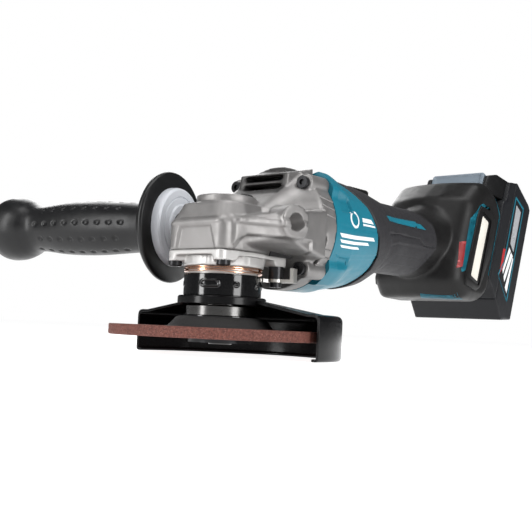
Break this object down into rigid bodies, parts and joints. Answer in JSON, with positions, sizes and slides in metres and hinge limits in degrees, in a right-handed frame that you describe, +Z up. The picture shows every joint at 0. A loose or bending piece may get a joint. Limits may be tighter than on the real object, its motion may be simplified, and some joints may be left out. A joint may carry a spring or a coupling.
{
  "type": "angle grinder",
  "caption": "Cordless angle grinder with a cast gear head, half-round wheel guard, screwed-in side handle, slotted vents and a slide-on battery pack.",
  "frame": {"origin": "centre of the spindle's free end", "axes": "+X along the body from the battery to the gear head, +Y the side with the open handle hole, +Z up the spindle away from the wheel"},
  "size_m": [0.3985, 0.2605, 0.1489],
  "materials": {
    "cast_aluminium": "sand-cast, satin",
    "light_aluminium": "die-cast, satin",
    "bright_steel": "ground",
    "dark_steel": "black oxide",
    "nickel": "satin nickel",
    "guard_paint": "gloss black",
    "copper": "bare copper",
    "bronze": "sintered bronze",
    "spring_copper": "copper-plated",
    "motor_iron": "laminated",
    "abrasive": "bonded grit",
    "label_paper": "printed",
    "teal_plastic": "satin",
    "charcoal_rubber": "moulded",
    "black_rubber": "moulded",
    "white_plastic": "satin",
    "black_plastic": "textured",
    "grey_plastic": "textured",
    "circuit": "coated board",
    "filter_felt": "woven mesh"
  },
  "bodies": {
    "tool_body": {"gear_housing": "cast_aluminium", "bearing_retainer": "bright_steel", "gear_housing_screws": "dark_steel", "bearing_box": "light_aluminium", "bearing_box_screws": "dark_steel", "wave_springs": "spring_copper", "lower_bearing_outer": "bright_steel", "front_bearing_outer": "bright_steel", "rear_bearing_outer": "bright_steel", "spindle_bush": "bronze", "shaft_lock_spring": "bright_steel", "lever_spacer": "dark_steel", "lever_screw": "dark_steel", "motor_housing": "teal_plastic", "fan_baffle": "black_plastic", "stator_core": "motor_iron", "stator_coils": "copper", "sensor_board": "circuit", "body_shell_left": "charcoal_rubber", "body_shell_right": "charcoal_rubber", "grip_trim_left": "teal_plastic", "grip_trim_right": "teal_plastic", "shell_screws": "dark_steel", "switch_body": "black_plastic", "controller": "light_aluminium", "terminal_block": "black_plastic", "terminal_blades": "nickel"},
    "spindle_group": {"spindle": "bright_steel", "bevel_gear": "bright_steel", "lower_bearing_inner": "bright_steel", "inner_flange": "bright_steel", "grinding_wheel": "abrasive", "wheel_label": "label_paper", "lock_nut": "dark_steel"},
    "motor_group": {"motor_shaft": "bright_steel", "bevel_pinion": "bright_steel", "rotor_core": "motor_iron", "cooling_fan": "black_plastic", "front_bearing_inner": "bright_steel", "rear_bearing_inner": "bright_steel"},
    "guard": {"wheel_guard": "guard_paint", "guard_collar": "guard_paint"},
    "guard_lever": {"guard_lever": "nickel"},
    "shaft_lock": {"shaft_lock_button": "black_plastic", "shaft_lock_pin": "bright_steel"},
    "side_handle": {"handle_stud": "bright_steel", "handle_ring": "white_plastic", "handle_grip": "black_rubber"},
    "switch_slider": {"slide_switch": "black_plastic"},
    "filter_left": {"filter_frame_left": "black_plastic", "filter_mesh_left": "filter_felt"},
    "filter_right": {"filter_frame_right": "black_plastic", "filter_mesh_right": "filter_felt"},
    "battery": {"battery_case_upper": "black_plastic", "battery_case_lower": "black_plastic", "battery_cells": "bright_steel", "battery_board": "circuit", "latch_spring": "bright_steel"},
    "battery_latch": {"battery_latch": "grey_plastic"}
  },
  "joints": [
    {"name": "spindle_spin", "type": "hinge", "parent": "tool_body", "child": "spindle_group", "pos_m": [0, 0, 0], "axis": [0, 0, 1], "continuous": true},
    {"name": "motor_spin", "type": "hinge", "parent": "tool_body", "child": "motor_group", "pos_m": [0, 0, 0.071], "axis": [1, 0, 0], "continuous": true},
    {"name": "guard_turn", "type": "hinge", "parent": "tool_body", "child": "guard", "pos_m": [0, 0, 0], "axis": [0, 0, 1], "range_deg": [-90, 90]},
    {"name": "guard_lever_swing", "type": "hinge", "parent": "tool_body", "child": "guard_lever", "pos_m": [-0.025, 0.0182, 0], "axis": [0, 0, 1], "range_deg": [0, 15], "stiffness_Nm_per_rad": 0.05},
    {"name": "shaft_lock_press", "type": "slide", "parent": "tool_body", "child": "shaft_lock", "axis": [0, 0, -1], "range_m": [0, 0.003], "stiffness_N_per_m": 900},
    {"name": "side_handle_unscrew", "type": "slide", "parent": "tool_body", "child": "side_handle", "axis": [0.2079, -0.9781, 0], "range_m": [0, 0.016]},
    {"name": "switch_slide", "type": "slide", "parent": "tool_body", "child": "switch_slider", "axis": [1, 0, 0], "range_m": [0, 0.008]},
    {"name": "filter_left_pull", "type": "slide", "parent": "tool_body", "child": "filter_left", "axis": [0, 1, 0], "range_m": [0, 0.012]},
    {"name": "filter_right_pull", "type": "slide", "parent": "tool_body", "child": "filter_right", "axis": [0, -1, 0], "range_m": [0, 0.012]},
    {"name": "battery_slide", "type": "slide", "parent": "tool_body", "child": "battery", "axis": [-0.342, 0, 0.9397], "range_m": [0, 0.07]},
    {"name": "battery_latch_press", "type": "slide", "parent": "battery", "child": "battery_latch", "axis": [-0.9397, 0, -0.342], "range_m": [0, 0.003], "stiffness_N_per_m": 1200}
  ],
  "couplings": [
    {"joint": "motor_spin", "follows": "spindle_spin", "ratio": -3.4}
  ]
}
